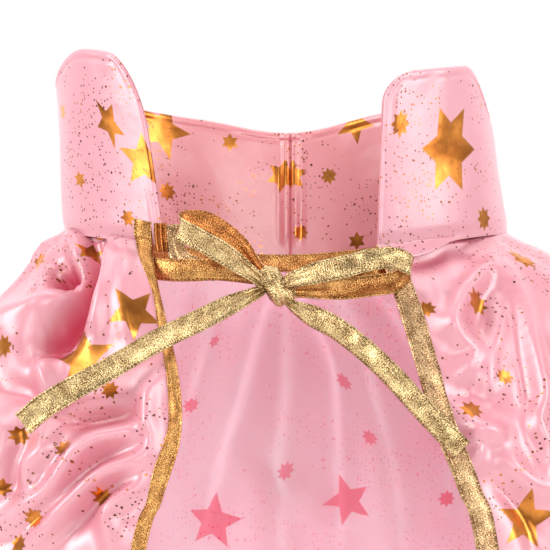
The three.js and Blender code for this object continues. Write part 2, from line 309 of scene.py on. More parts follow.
# Folds on each panel: a line of X and Z places in the front view, half width and height, negative
# for a valley
LEFT_FOLDS = [
    # shoulder rolls above and below the pocket
    ([(-109, -7), (-102, 0), (-96, 7)], 4, 3),
    ([(-131, -40), (-118, -33), (-106, -28), (-92, -22), (-85, -21)], 4, 6),
    ([(-99, -7), (-97, -12), (-95, -16)], 3, -14),
    # deep pleat that falls from the neck seam and turns out to the arm
    ([(-82, 6), (-82, -9), (-85, -20), (-93, -33), (-102, -43), (-109, -49)], 3.6, -12),
    # roll that carries on from the collar's left end, and the groove beside it
    ([(-90, 9), (-90, 2), (-88, -5)], 3, 3),
    ([(-97.5, 6), (-96.5, -1), (-95, -7)], 2, -2),
    # puff between the pleat and the front edge
    ([(-75, 3), (-76.5, -12), (-80, -28), (-85, -40)], 4.5, 6),
    ([(-66, 0), (-66, -12), (-68, -26), (-66, -42)], 6, 5),
    ([(-57, -2), (-56, -16), (-57, -34)], 4.5, 4.5),
    # arm side
    ([(-128, -42), (-116, -40), (-104, -37)], 7, 4),
    ([(-103, -46), (-104.5, -54), (-103, -63), (-100, -70)], 3, 6),
    ([(-128, -62), (-112, -64), (-104, -72)], 6, -4),
    # long ridges that gather towards the front edge
    ([(-61, -81), (-72, -83.5), (-81, -87), (-88, -93), (-93, -100), (-101, -111), (-113, -119),
      (-126, -128)], 3.4, 7),
    ([(-55, -94), (-67, -98), (-78, -103), (-86, -110), (-94, -118), (-102, -127), (-112, -136)], 3.2, 7),
    ([(-50, -54), (-53, -60), (-56.5, -67), (-57, -75), (-55, -83), (-56, -91), (-61, -96)], 3, 7),
    ([(-55, -99), (-63, -108), (-72, -115), (-75, -120), (-74, -128), (-72, -140)], 3, 6.5),
    ([(-103, -78), (-102.5, -87), (-104, -93), (-110, -98), (-111, -103), (-112, -110)], 3.4, 6),
    ([(-128, -76), (-121, -84), (-122, -96), (-127, -108)], 5, 6),
    ([(-60, -72), (-72, -75), (-88, -77), (-98, -77)], 4.5, -5),
    ([(-116, -82), (-116.5, -92), (-119, -104), (-121, -112)], 3.5, -5),
    ([(-63, -90), (-76, -94), (-86, -101), (-96, -112), (-110, -122)], 2.6, -4),
    ([(-61, -101), (-72, -107), (-84, -117), (-96, -130)], 2.8, -4),
    ([(-130, -140), (-118, -147), (-104, -152), (-90, -160)], 5, 5),
    ([(-66, -122), (-64, -132), (-62, -146)], 3.5, 4),
]
RIGHT_FOLDS = [
    # band pulled in below the collar seam
    ([(58, -8), (70, -3), (82, 1), (96, 6)], 4, -4),
    # arched fold and its long double crease
    ([(81, -40), (82.5, -28), (86, -20), (92, -13), (99, -8)], 3.6, 6),
    ([(99, -8), (105, -13), (111, -25), (115, -43), (118, -57), (120, -67), (118, -78), (123, -89),
      (124, -106)], 2.6, 7),
    ([(108, -22), (111.5, -40), (114.5, -58), (116, -70), (114, -80)], 2, -3.5),
    ([(94, -17), (96, -27), (96, -40), (98, -56)], 6, -3.5),
    ([(102, -18), (101, -32), (98.5, -45), (97, -56), (95, -68)], 3.2, 4),
    ([(77, -14), (80, -26), (79, -36), (85, -41), (90, -45), (88, -51), (82, -56)], 3.4, 5),
    ([(68, -16), (71, -30), (74, -42)], 3.6, 4),
    ([(78, -60), (84, -66), (92, -66), (103, -74)], 4.5, -4),
    ([(86, -80), (92, -82), (98, -83), (105, -84)], 3, 6),
    ([(88.5, -92), (93.5, -95)], 2.6, 3.5),
    ([(80, -68), (86, -74), (90, -90), (96, -104)], 4, 3),
    ([(104, -90), (108, -100), (118, -108), (128, -112)], 4, 5),
    ([(96, -104), (106, -110), (116, -124), (120, -140)], 4, -4),
    ([(112, -2), (122, -8), (132, -18)], 6, 3),
    ([(124, -30), (130, -50), (133, -80)], 5, 4),
]
BACK_FOLDS = [
    # seen from inside, so these push away from the wearer
    ([(2, -14), (-6, -40), (-14, -70), (-24, -100), (-34, -140)], 7, 9),
    ([(8, -16), (18, -40), (26, -62), (28, -100), (30, -140)], 6, 9),
    ([(4, -24), (4, -60), (2, -100), (4, -150)], 8, -10),
    ([(-28, -14), (-34, -40), (-42, -70), (-50, -110)], 7, -7),
    ([(24, -14), (40, -36), (46, -60), (56, -100), (60, -140)], 6, -8),
    ([(34, -12), (54, -36), (66, -60), (76, -90), (78, -120)], 5, 7),
    ([(-18, -86), (-6, -92), (8, -104), (20, -122)], 7, -7),
]

FRONT_FOLDS = {"left": LEFT_FOLDS, "right": RIGHT_FOLDS}
FRONT_GATHERS = {"left": (5, 0.6, 1.0), "right": (4, 0.6, 0.6)}  # count, phase, height
BACK_GATHERS = (9, 1.1, 0.9)
FRONT_COLUMNS = 150
BACK_COLUMNS = 220


def drape(angle, v):
    """The hanging cloth, longer over the shoulders so that its hem is level."""
    length = CAPE_LENGTH + SIDE_EXTRA * np.sin(np.radians(angle)) ** 2
    return cloth_surface(angle, v * length / CAPE_LENGTH)


def shape_panel(angle, v, gathers, strokes, relief):
    """Smooth cloth with gathers and folds pushed out along its normal.

    Returns points, pattern and how far each point lies down in a fold, which the satin uses for painted
    shade.
    """
    base = drape(angle, v)
    pattern = flat_pattern(base, v[0])
    push = stroke_field(base, strokes) * relief
    points = base + outward_normals(base) * (push + gathers)[..., None]
    return points, pattern, np.maximum(-push, 0)


def front_panel(side):
    s, v = np.meshgrid(np.linspace(0, 1, FRONT_COLUMNS + 1), cloth_rows(), indexing="ij")
    edge = np.interp(v, *smooth_line(FRONT_EDGES[side], 200).T)
    angle = SIGN[side] * mix(edge, SHOULDER_SEAM, s)
    gathers = neck_gathers(s, v, *FRONT_GATHERS[side])
    flat_by_edge = mix(0.1, 1, smooth(s, 0, 0.13))
    return shape_panel(angle, v, gathers, FRONT_FOLDS[side], RELIEF[side] * flat_by_edge)


def back_panel():
    columns = np.linspace(-SHOULDER_SEAM, SHOULDER_SEAM, BACK_COLUMNS + 1)
    angle, v = np.meshgrid(columns, cloth_rows(), indexing="ij")
    gathers = neck_gathers(angle / 180, v, *BACK_GATHERS)
    return shape_panel(angle, v, gathers, BACK_FOLDS, RELIEF["back"])


# -------- collar

# Collar height and outward lean, by angle
LEFT_HEIGHT = [(-150, 84), (-120, 86.5), (-88, 72.5), (-22, 74)]
RIGHT_HEIGHT = [(29, 75), (104, 57), (126, 79.5), (155, 78.5)]
COLLAR_HEIGHT = [*LEFT_HEIGHT, (BACK_SEAM, 69.5), *RIGHT_HEIGHT]
COLLAR_LEAN = [(-150, 3), (-90, 4.5), (BACK_SEAM, 4), (90, -9), (155, 3)]
# Front angle of each lobe, how far it slants back, its rounded corner, and the height where that starts
LOBES = {"left": (150, 9, 11, 0.6), "right": (155, 1.2, 9, 0.82)}


def lobe_edge(side, t):
    front, slant, corner, start = LOBES[side]
    rise = np.clip((t - start) / (1 - start), 0, 1)
    return front - slant * t - corner * (1 - np.sqrt(1 - rise**2))


def collar_surface(side, u, t):
    """The middle of the collar: u goes from the back seam to the front edge, t from the neck to the top."""
    angle = mix(BACK_SEAM, SIGN[side] * lobe_edge(side, t), u)
    height = through(COLLAR_HEIGHT, angle)
    lean = through(COLLAR_LEAN, angle) * t
    points = neckline(angle) + outward(angle, neck_half(angle), NECK_HALF_DEPTH) * lean[..., None]
    points[..., 2] += height * t
    return points, angle, height


SEAM_ALLOWANCE = 1.3
SKIRT_DROP = 8.5  # how far the right face runs down over the panel
SKIRT_ANGLES = (128, 149)  # where it starts to, and where it does so in full


def below_seam(angle, drop):
    """Collar cloth below the neck seam: straight down, or over the front panel where drop is deep."""
    share = np.linspace(1, 0.12, 8)
    angle, share = np.meshgrid(angle, share, indexing="ij")
    v = drop[:, None] * share
    straight = neckline(angle) - v[..., None] * UP
    over = drape(angle, v)
    over[..., 1] -= 0.5
    return mix(straight, over, smooth(drop, SEAM_ALLOWANCE, 3)[:, None, None]), v


EDGE_ROLL = 2.4
STITCH_INSET = 4.4  # the stitched groove, in from the edge


def collar_half(side, face):
    """One face of a collar half, rolled in to the seam round its edge. face is 1 outside, -1 inside."""
    u, t = np.meshgrid(spaced(150, 0.35), spaced(76, 0.45), indexing="ij")
    points, angle, height = collar_surface(side, u, t)
    deepest = SKIRT_DROP if side == "right" and face > 0 else SEAM_ALLOWANCE
    drop = mix(SEAM_ALLOWANCE, deepest, smooth(angle[:, 0], *SKIRT_ANGLES))
    lower, v = below_seam(angle[:, 0], drop)
    points = np.concatenate([lower, points], axis=1)
    angle = np.concatenate([np.broadcast_to(angle[:, :1], v.shape), angle], axis=1)
    height = np.concatenate([np.broadcast_to(height[:, :1], v.shape), height], axis=1)
    t = np.concatenate([-v / height[:, :1], t], axis=1)
    run = run_along(points)
    to_front = run[-1] - run
    to_top = height * (1 - t)
    to_edge = np.minimum(to_front, to_top)
    rolled = np.sqrt(1 - (1 - np.clip(to_edge / EDGE_ROLL, 0, 1)) ** 2)
    rolled = rolled * mix(0.35, 1, smooth(height * t, 0, 7))
    groove = 0.7 * np.exp(-(((to_edge - STITCH_INSET) / 0.8) ** 2))
    pucker = 0.3 * np.sin(run / 3.4 + 3 * np.sin(run / 17)) * np.exp(-((to_top / 9) ** 2))
    # the centre back seam is pinched: a ridge beside it, then a crease
    pinch = 1.1 * np.exp(-(((run - 2.6) / 1.5) ** 2)) - 0.8 * np.exp(-(((run - 5.6) / 1.1) ** 2))
    pinch = pinch * smooth(height * t, 10, 18)
    ease = 1.1 * np.sin(angle / 9 + t * 2.4) * np.sin(math.pi * t) + 0.12 * np.sin(angle / 4.1 - t * 5)
    skin = COLLAR_HALF_THICKNESS - SATIN_THICKNESS - 0.5
    shape = (skin + pucker + ease * 0.8 + pinch) * rolled - groove
    lift = face * (SATIN_THICKNESS + 0.08 + 0.75 * rolled + np.maximum(shape, 0.05 * rolled))
    pattern = np.stack([run, height * t], axis=-1)
    return points + outward_normals(points) * lift[..., None], pattern


# -------- gold tape and ribbon


def tape_pattern(run, columns):
    """The flat pattern of a full-width tape: across it, and along it."""
    across = np.linspace(0, TAPE_WIDTH, columns)
    return np.stack(np.meshgrid(across, run, indexing="ij"), axis=-1)


def along_sheet(points, normals, distance):
    """Places and normals at a distance in from the first column of a sheet, for every row.

    distance is one number, or one for each row.
    """
    distance = np.broadcast_to(distance, points.shape[1:2])
    run = run_along(points)
    place = np.empty(points.shape[1:])
    facing = np.empty(points.shape[1:])
    for row in range(points.shape[1]):
        for axis in range(3):
            place[row, axis] = np.interp(distance[row], run[:, row], points[:, row, axis])
            facing[row, axis] = np.interp(distance[row], run[:, row], normals[:, row, axis])
    return place, unit(facing)


def folded_tape(points, normals, width=9.0, clear=0.0):
    """Tape folded over a sheet's first column: out along one face, round the edge, back on the other.

    width is how far in it reaches, and clear how much more room it leaves for a thicker edge: one number,
    or one for each row.
    """
    # how far in each row lies, as a share of the width, and how far it stands off the sheet
    shares = [1, 0.96, 0.89, 0.82, 0.65, 0.45, 0.25, 0.12, 0.04]
    lift = [0.3, 0.62, 0.6, 0.5, 0.85, 0.95, 0.9, 0.75, 0.62]
    room = np.broadcast_to(np.asarray(clear, float), points.shape[1:2])[:, None]
    down = run_along(points[0])
    crinkle = (0.22 * np.sin(down / 2.6 + 2 * np.sin(down / 9)))[:, None]
    outer, inner = [], []
    for share, height in zip(shares, lift):
        place, facing = along_sheet(points, normals, share * width)
        off = facing * (height + room + crinkle * (share > 0.12))
        outer.append(place + off)
        inner.insert(0, place - off)
    edge, facing = along_sheet(points, normals, 0)
    inward = unit(along_sheet(points, normals, 2)[0] - edge)
    shoulder = facing * (0.4 + room)
    bend = [edge + shoulder - inward * 0.45, edge - inward * 0.62, edge - shoulder - inward * 0.45]
    grid = np.stack(outer + bend + inner)
    run = run_along(grid.transpose(1, 0, 2)).mean(axis=1)
    across = np.concatenate([shares, [0, 0, 0], shares[::-1]]) * TAPE_WIDTH
    pattern = np.stack(np.meshgrid(across, run, indexing="ij"), axis=-1)
    return grid, pattern


def ribbon(route, stations, camber=0.9):
    """A flat ribbon along a route of seven numbers a place. Returns points and pattern.

    The seven are the place itself, the direction across the ribbon, and the share of its full width.
    """
    line = smooth_line(route, stations)
    centres, across, share = line[:, :3], line[:, 3:6], line[:, 6]
    tangent = unit(np.gradient(centres, axis=0))
    across = unit(across - tangent * (across * tangent).sum(axis=1, keepdims=True))
    out = unit(np.cross(tangent, across))
    run = run_along(centres)
    s = np.linspace(-1, 1, 13)
    pinch = np.clip(1 - share, 0, 1)
    wave = 0.35 * np.sin(run / 2.7 + np.sin(run / 6.1) * 1.7)
    grid = []
    for place in s:
        fold = pinch * 1.6 * np.sin(place * 7.5)
        lift = camber * (1 - place**2) + wave * (0.6 + 0.4 * place) + fold
        aside = place * TAPE_WIDTH / 2 * share
        grid.append(centres + across * aside[:, None] + out * lift[:, None])
    return np.stack(grid), tape_pattern(run, len(s))


# -------- shader tools


def linear(red, green, blue):
    """A screen colour of 0 to 255 as linear light."""
    shares = [c / 255 for c in (red, green, blue)]
    return (*(c / 12.92 if c <= 0.04045 else ((c + 0.055) / 1.055) ** 2.4 for c in shares), 1)


def plug(tree, target, inputs):
    """Links each input to an output, or sets it to a value."""
    for key, value in inputs.items():
        if isinstance(value, bpy.types.NodeSocket):
            tree.links.new(value, target.inputs[key])
        else:
            target.inputs[key].default_value = value


def node(tree, kind, inputs=None, output=0, **settings):
    """Adds a shader node, sets or links its inputs and gives one of its outputs."""
    made = tree.nodes.new(f"ShaderNode{kind}")
    for key, value in settings.items():
        setattr(made, key, value)
    plug(tree, made, inputs or {})
    return made.outputs[output]


def parts_of(tree, vector):
    """X, Y and Z of a vector."""
    split = tree.nodes.new("ShaderNodeSeparateXYZ")
    plug(tree, split, {0: vector})
    return split.outputs


def calc(tree, operation, *values):
    return node(tree, "Math", dict(enumerate(values)), operation=operation)


def vector_math(tree, operation, inputs, output=0):
    return node(tree, "VectorMath", inputs, output, operation=operation)


def blend_shares(tree, share, first, second):
    return node(tree, "Mix", {0: share, 2: first, 3: second}, data_type="FLOAT")


def blend_colour(tree, share, first, second):
    """Colours mixed by a share."""
    return node(tree, "Mix", {0: share, 6: first, 7: second}, output=2, data_type="RGBA")


def between(tree, value, low, high, to_low=0.0, to_high=1.0):
    """Value brought from low..high to to_low..to_high and held there."""
    inputs = {0: value, 1: low, 2: high, 3: to_low, 4: to_high}
    return node(tree, "MapRange", inputs, clamp=True)


def noise(tree, place, scale, detail=2.0, roughness=0.5, stretch=None):
    if stretch is not None:
        place = vector_math(tree, "MULTIPLY", {0: place, 1: stretch})
    inputs = {"Vector": place, "Scale": scale, "Detail": detail, "Roughness": roughness}
    return node(tree, "TexNoise", inputs)


def new_material(name):
    material = bpy.data.materials.new(name)
    material.use_nodes = True
    return material, material.node_tree, material.node_tree.nodes["Principled BSDF"]


def bump(tree, height, strength, distance):
    return node(tree, "Bump", {"Height": height, "Strength": strength, "Distance": distance})


def pattern_place(tree):
    return node(tree, "UVMap", uv_map="pattern")


# -------- stars


def star_group(points):
    """A node group that says how far a place is inside a star of outer radius 1 with its tip on +X."""
    name = f"star_{points}"
    if name in bpy.data.node_groups:
        return bpy.data.node_groups[name]
    tree = bpy.data.node_groups.new(name, "ShaderNodeTree")
    tree.interface.new_socket("Place", in_out="INPUT", socket_type="NodeSocketVector")
    tree.interface.new_socket("Inside", in_out="OUTPUT", socket_type="NodeSocketFloat")
    entry = tree.nodes.new("NodeGroupInput")
    leave = tree.nodes.new("NodeGroupOutput")
    sector = math.pi / points
    valley = {5: 0.45, 6: 0.56, 8: 0.62}[points]
    run, rise = 1 - valley * math.cos(sector), valley * math.sin(sector)
    radius = vector_math(tree, "LENGTH", {0: entry.outputs[0]}, output=1)
    x, y, _ = parts_of(tree, entry.outputs[0])
    turn = calc(tree, "ARCTAN2", y, x)
    folded = calc(tree, "PINGPONG", turn, sector)
    reach = calc(tree, "MULTIPLY", radius, calc(tree, "COSINE", folded))
    height = calc(tree, "MULTIPLY", radius, calc(tree, "SINE", folded))
    below = calc(tree, "MULTIPLY_ADD", height, -run, rise)
    plug(tree, leave, {0: calc(tree, "MULTIPLY_ADD", reach, -rise, below)})
    return tree


def placed_star(tree, place, centre, radius, turn, points, breadth):
    """Signed share inside one printed star at a place of the pattern, in metres."""
    size = (radius * breadth, radius, 1)
    inputs = {"Vector": place, "Location": (*centre, 0), "Rotation": (0, 0, turn), "Scale": size}
    local = node(tree, "Mapping", inputs, vector_type="TEXTURE")
    return node(tree, "Group", {0: local}, node_tree=star_group(points))


def cells(tree, place, spacing, randomness=1.0):
    """Random cells of a flat pattern, and each cell's own three random numbers."""
    cell = tree.nodes.new("ShaderNodeTexVoronoi")
    cell.voronoi_dimensions = "2D"
    plug(tree, cell, {"Vector": place, "Scale": 1 / spacing, "Randomness": randomness})
    chance = tree.nodes.new("ShaderNodeSeparateColor")
    plug(tree, chance, {0: cell.outputs["Color"]})
    return cell, chance.outputs


def scattered_stars(tree, place, spacing, radius, points, share, shift):
    """One star in some of the cells of a random pattern, each turned its own way."""
    moved = vector_math(tree, "ADD", {0: place, 1: (shift, shift * 0.7, 0)})
    cell, chance = cells(tree, moved, spacing, 0.72)
    centre = vector_math(tree, "SUBTRACT", {0: moved, 1: cell.outputs["Position"]})
    turn = calc(tree, "MULTIPLY", chance[0], 6.28)
    turned = node(tree, "VectorRotate", {"Vector": centre, "Angle": turn}, rotation_type="Z_AXIS")
    local = vector_math(tree, "SCALE", {0: turned, "Scale": 1 / radius})
    inside = node(tree, "Group", {0: local}, node_tree=star_group(points))
    used = calc(tree, "LESS_THAN", chance[1], share)
    return calc(tree, "MULTIPLY_ADD", used, 2.0, calc(tree, "SUBTRACT", inside, 2.0))


def dots(tree, place, spacing, radius, low, high, seed):
    """Small foil dots in clusters: dense where a slow noise is high, none where it is low."""
    cell, chance = cells(tree, vector_math(tree, "ADD", {0: place, 1: (seed, 0, 0)}), spacing)
    crowd = between(tree, noise(tree, place, 26, 2), low, high)
    size = calc(tree, "MULTIPLY", between(tree, chance[1], 0, 1, 0.5, 1.0), radius / spacing)
    round_dot = calc(tree, "LESS_THAN", cell.outputs["Distance"], size)
    return calc(tree, "MULTIPLY", round_dot, calc(tree, "LESS_THAN", chance[0], crowd))


# Printed stars in the front view: X, Z, outer radius, turn in degrees, points, and the breadth as a
# share of the height where it is narrower
LEFT_LOBE_STARS = [
    (-97, 63, 4.5, 10, 8), (-75, 58, 13, -18, 5, 0.62), (-89, 32, 4.5, 20, 6), (-67, 14, 4.5, 0, 6),
    (-60, 40, 14, 95, 5),
]
RIGHT_LOBE_STARS = [(57, 57, 7, 0, 8, 0.72), (79, 46, 23, 5, 6, 0.7), (95.5, 14, 6.4, 0, 8, 0.8)]
INNER_COLLAR_STARS = [
    (-51.5, 55, 16, 0, 5), (-49, 27, 5.2, 0, 8), (-20, 49, 5, 30, 6), (3, 34, 9, 80, 6),
    (25, 34, 4.6, 10, 8), (36, 57, 11, 60, 5), (11, 8, 4.5, 0, 8), (37, 4, 5, 30, 6),
]
LEFT_PANEL_STARS = [
    (-64, -28, 13, 100, 5), (-87, -49, 16, 60, 5), (-123, -43, 4.8, 20, 8), (-75, -63, 4.8, 0, 8),
    (-96, -90, 4.8, 30, 8), (-78, -113, 5, 10, 8), (-116, -85, 4.8, 0, 8), (-125, -109, 4.8, 0, 8),
    (-109, -123, 5, 20, 8), (-116, -134, 5, 0, 8), (-107, -5, 5, 0, 6), (-97, 8, 4.5, 0, 6),
    (-83, -1, 5.5, 60, 5),
]
RIGHT_PANEL_STARS = [
    (112.5, -3.5, 8.5, 0, 8, 0.62), (91.5, -24, 6, 0, 8), (69, -27, 4.6, 20, 8), (89.5, -73, 6, 5, 8),
    (113, -122, 15, 70, 5), (104, -58, 4.6, 15, 8),
]
BACK_INSIDE_STARS = [
    (-38, -70, 5, 0, 8), (31, -60, 5, 20, 8), (43, -85, 5, 10, 8), (78, -113, 5, 0, 8),
    (-27, -124, 15, 10, 5), (34, -113, 14, 40, 5), (-28, -41, 3.6, 0, 6), (5, -100, 5, 30, 8),
]


def place_stars(points, pattern, stars, seen):
    """Star centres found on a sheet's pattern from where they show in the front view."""
    view = front_view(points)
    found = []
    for x, z, radius, turn, tips, *breadth in stars:
        gap = np.linalg.norm(view - [x, z], axis=-1)
        gap[~seen] = 1e6
        centre = pattern.reshape(-1, 2)[gap.argmin()] * MM
        found.append((tuple(centre), radius * MM, math.radians(turn), tips, *(breadth or [1])))
    return found


def facing_front(points, outside=True):
    """Which points show their outer face, or their inner one, to the front."""
    normal = grid_normals(points)
    normal = normal * np.sign((normal * unit(points * [1, 1, 0])).sum())
    towards = (normal * (points - EYE)).sum(axis=-1) < 0
    return towards if outside else ~towards


# Scattered stars: distance apart, outer radius, points, share of the cells that have one, and shift
SCATTERED = [(0.036, 0.0048, 8, 0.7, 3.1), (0.075, 0.0145, 5, 0.6, 7.7), (0.062, 0.0085, 6, 0.4, 5.3)]
# Dots: distance apart, largest radius, noise from which they start and at which all are there, and shift
FINE_DOTS = (0.0021, 0.00048, 0.42, 0.86, 0.0)
COARSE_DOTS = (0.0044, 0.00066, 0.42, 0.86, 2.0)
# Places of the pattern between which scattered stars take over, and the same for cloth without them
BELOW_THE_SHOULDER = (-0.15, -0.17)
NOWHERE = (-0.5, -0.6)


def star_print(tree, place, placed, free):
    """Where foil covers the cloth, in stars and in dots. free says where the scattered stars start."""
    stars = [placed_star(tree, place, *star) for star in placed]
    everywhere, *others = [scattered_stars(tree, place, *kind) for kind in SCATTERED]
    for other in others:
        everywhere = calc(tree, "MAXIMUM", everywhere, other)
    open_cloth = between(tree, parts_of(tree, place)[1], *free, -2.0, 2.0)
    inside = calc(tree, "MINIMUM", everywhere, open_cloth)
    for star in stars:
        inside = calc(tree, "MAXIMUM", inside, star)
    star_mask = between(tree, inside, 0.0, 0.02)
    return star_mask, calc(tree, "MAXIMUM", dots(tree, place, *FINE_DOTS), dots(tree, place, *COARSE_DOTS))


def glow(weight):
    """Thin cloth glows on the side away from the light."""
    return {"Subsurface Weight": weight, "Subsurface Radius": (1, 0.5, 0.55), "Subsurface Scale": 0.0015}


# Colours, each a pair that a noise mixes
OUTER_PINK = (linear(213, 137, 151), linear(207, 123, 138))
# painted shade: a darker, more salmon copy of the outer pink for the collar's inside, which lies in shade
SHADED_LINING_PINK = (linear(219, 124, 131), linear(213, 110, 117))
WRONG_SIDE_PINK = (linear(255, 221, 228), linear(254, 210, 219))
FOIL = (linear(152, 88, 36), linear(222, 142, 66))
FOIL_DOTS = (linear(104, 62, 46), linear(196, 116, 66))
FELT = (linear(240, 236, 228), linear(226, 220, 210))
# and single ones
# painted shade: the dark crimson pink that cloth deep in a fold is tinted towards
PAINTED_FOLD_SHADE = linear(200, 30, 78)
# painted shadow: the darker pink of the foil's shadow, seen through the cloth from its back
PAINTED_FOIL_SHADOW = linear(236, 96, 130)
STITCHES = linear(70, 48, 24)
FOIL_ROUGHNESS = 0.29


def printed_satin(name, placed, free=BELOW_THE_SHOULDER, pinks=OUTER_PINK):
    """Glossy pink satin, printed with foil stars and foil dots, with painted shade deep in its folds."""
    material, tree, shader = new_material(name)
    place = pattern_place(tree)
    star_mask, dot_mask = star_print(tree, place, placed, free)
    foil = calc(tree, "MAXIMUM", star_mask, dot_mask)
    cloud = noise(tree, place, 9, 3)
    cloth = blend_colour(tree, between(tree, cloud, 0.3, 0.7), *pinks)
    # painted shade: the deeper a point lies in a fold, the more its cloth is tinted to a dark crimson pink
    depth = node(tree, "Attribute", output=2, attribute_name="depth")
    cloth = blend_colour(tree, between(tree, depth, 0.6, 10.5, 0.0, 0.9), cloth, PAINTED_FOLD_SHADE)
    tone = noise(tree, place, 60, 3, 0.6)
    gold = blend_colour(tree, between(tree, tone, 0.35, 0.65), *FOIL)
    dot_colour = blend_colour(tree, between(tree, tone, 0.42, 0.62), *FOIL_DOTS)
    foil_colour = blend_colour(tree, dot_mask, gold, dot_colour)
    thread = noise(tree, place, 700, 2, 0.6, (1, 7, 1))
    rough = between(tree, thread, 0.3, 0.7, 0.35, 0.46)
    wrinkle = noise(tree, place, 180, 3, 0.5)
    ripple = noise(tree, place, 38, 2, 0.5)
    height = calc(tree, "MULTIPLY_ADD", ripple, 5.0, calc(tree, "MULTIPLY", wrinkle, 0.5))
    height = calc(tree, "MULTIPLY_ADD", thread, 0.1, height)
    plug(tree, shader, {
        "Base Color": blend_colour(tree, foil, cloth, foil_colour),
        "Metallic": foil,
        "Roughness": blend_shares(tree, foil, rough, FOIL_ROUGHNESS),
        "Normal": bump(tree, height, 0.3, 0.0006),
        "Anisotropic": 0.3,
        "Sheen Weight": 0.12,
        "Sheen Roughness": 0.4,
        "Specular IOR Level": 1.0,
        "IOR": 1.85,
        **glow(0.22),
    })
    return material


def wrong_side(name, placed):
    """The dull back of the satin, with the foil's shadow painted on as darker stars where light coming
    through the cloth is blocked.
    """
    material, tree, shader = new_material(name)
    place = pattern_place(tree)
    star_mask, dot_mask = star_print(tree, place, placed, BELOW_THE_SHOULDER)
    cloud = noise(tree, place, 14, 3)
    cloth = blend_colour(tree, between(tree, cloud, 0.3, 0.7), *WRONG_SIDE_PINK)
    # painted shadow: darker stars and faint dots where the foil on the front blocks light through the cloth
    foil_shadow_share = calc(tree, "MULTIPLY_ADD", dot_mask, 0.4, calc(tree, "MULTIPLY", star_mask, 0.62))
    thread = noise(tree, place, 900, 2, 0.6, (1, 5, 1))
    wrinkle = noise(tree, place, 240, 3, 0.6)
    height = calc(tree, "MULTIPLY_ADD", noise(tree, place, 45, 3, 0.55), 4.0, wrinkle)
    plug(tree, shader, {
        "Base Color": blend_colour(tree, foil_shadow_share, cloth, PAINTED_FOIL_SHADOW),
        "Roughness": between(tree, thread, 0.2, 0.8, 0.5, 0.66),
        "Normal": bump(tree, height, 0.3, 0.0006),
        "Sheen Weight": 0.25,
        "Sheen Roughness": 0.5,
        **glow(0.75),
    })
    return material


RIB_PITCH = 0.00055
STITCH_LINE = 0.0042  # out from the middle of the tape
STITCH_PITCH = 0.0009


def gold_lame(name, dark, light):
    """Metallic ribbon: fine cross ribs, crinkled sparkle and a line of stitches near both edges."""
    material, tree, shader = new_material(name)
    place = pattern_place(tree)
    across, along, _ = parts_of(tree, place)
    grain = noise(tree, place, 1200, 2, 0.8, (1, 1.6, 1))
    speck = noise(tree, place, 2600, 1, 0.7)
    cloud = noise(tree, place, 120, 3, 0.6)
    rib = calc(tree, "PINGPONG", along, RIB_PITCH)
    shade = calc(tree, "MULTIPLY_ADD", cloud, 0.35, calc(tree, "MULTIPLY", grain, 0.65))
    tone = between(tree, shade, 0.42, 0.6)
    off_middle = calc(tree, "ABSOLUTE", calc(tree, "SUBTRACT", across, TAPE_WIDTH / 2 * MM))
    to_line = calc(tree, "ABSOLUTE", calc(tree, "SUBTRACT", off_middle, STITCH_LINE))
    line = between(tree, to_line, 0.0002, 0.00045, 1.0, 0.0)
    pitch = calc(tree, "PINGPONG", along, STITCH_PITCH)
    stitch = calc(tree, "MULTIPLY", line, between(tree, pitch, 0.0002, 0.0005))
    colour = blend_colour(tree, tone, linear(*dark), linear(*light))
    height = calc(tree, "MULTIPLY_ADD", rib, 500, calc(tree, "MULTIPLY_ADD", cloud, 1.6, grain))
    height = calc(tree, "MULTIPLY_ADD", stitch, -0.8, height)
    plug(tree, shader, {
        "Base Color": blend_colour(tree, calc(tree, "MULTIPLY", stitch, 0.75), colour, STITCHES),
        "Metallic": 0.92,
        "Roughness": between(tree, speck, 0.3, 0.7, 0.16, 0.36),
        "Normal": bump(tree, height, 0.5, 0.00035),
    })
    return material


def interfacing():
    """White stiffened felt inside the collar."""
    material, tree, shader = new_material("interfacing")
    place = node(tree, "TexCoord", output=3)
    fibre = noise(tree, place, 900, 4, 0.7)
    plug(tree, shader, {
        "Base Color": blend_colour(tree, fibre, *FELT),
        "Roughness": 0.9,
        "Normal": bump(tree, fibre, 0.4, 0.0004),
    })
    return material


# -------- camera, light and floor


def make_camera():
    data = bpy.data.cameras.new("camera")
    data.sensor_width = 36
    data.lens = data.sensor_width * VIEW_DISTANCE / VIEW_WIDTH
    data.clip_end = 20
    camera = bpy.data.objects.new("camera", data)
    camera.location = Vector(EYE * MM)
    camera.rotation_euler = Vector(VIEW_AXIS).to_track_quat("-Z", "Y").to_euler()
    bpy.context.scene.collection.objects.link(camera)
    bpy.context.scene.camera = camera


# Name, place, width and height in metres, and power in watts
SOFT_BOXES = [
    ("left_softbox", (-1.3, -0.9, 0.6), (0.5, 1.1), 17),
    ("right_softbox", (1.3, -0.9, 0.5), (0.5, 1.1), 12),
    ("top_softbox", (0, -0.2, 1.6), (1.2, 0.8), 7),
    ("fill", (0.2, -2.2, 0.3), (0.6, 0.6), 11),
]


def soft_box(name, place, size, power):
    """A rectangular light that faces the neck."""
    data = bpy.data.lights.new(name, "AREA")
    data.shape = "RECTANGLE"
    data.size, data.size_y = size
    data.energy = power
    light = bpy.data.objects.new(name, data)
    light.location = place
    aim = Vector((0, 0, -0.05)) - Vector(place)
    light.rotation_euler = aim.to_track_quat("-Z", "Y").to_euler()
    bpy.context.scene.collection.objects.link(light)


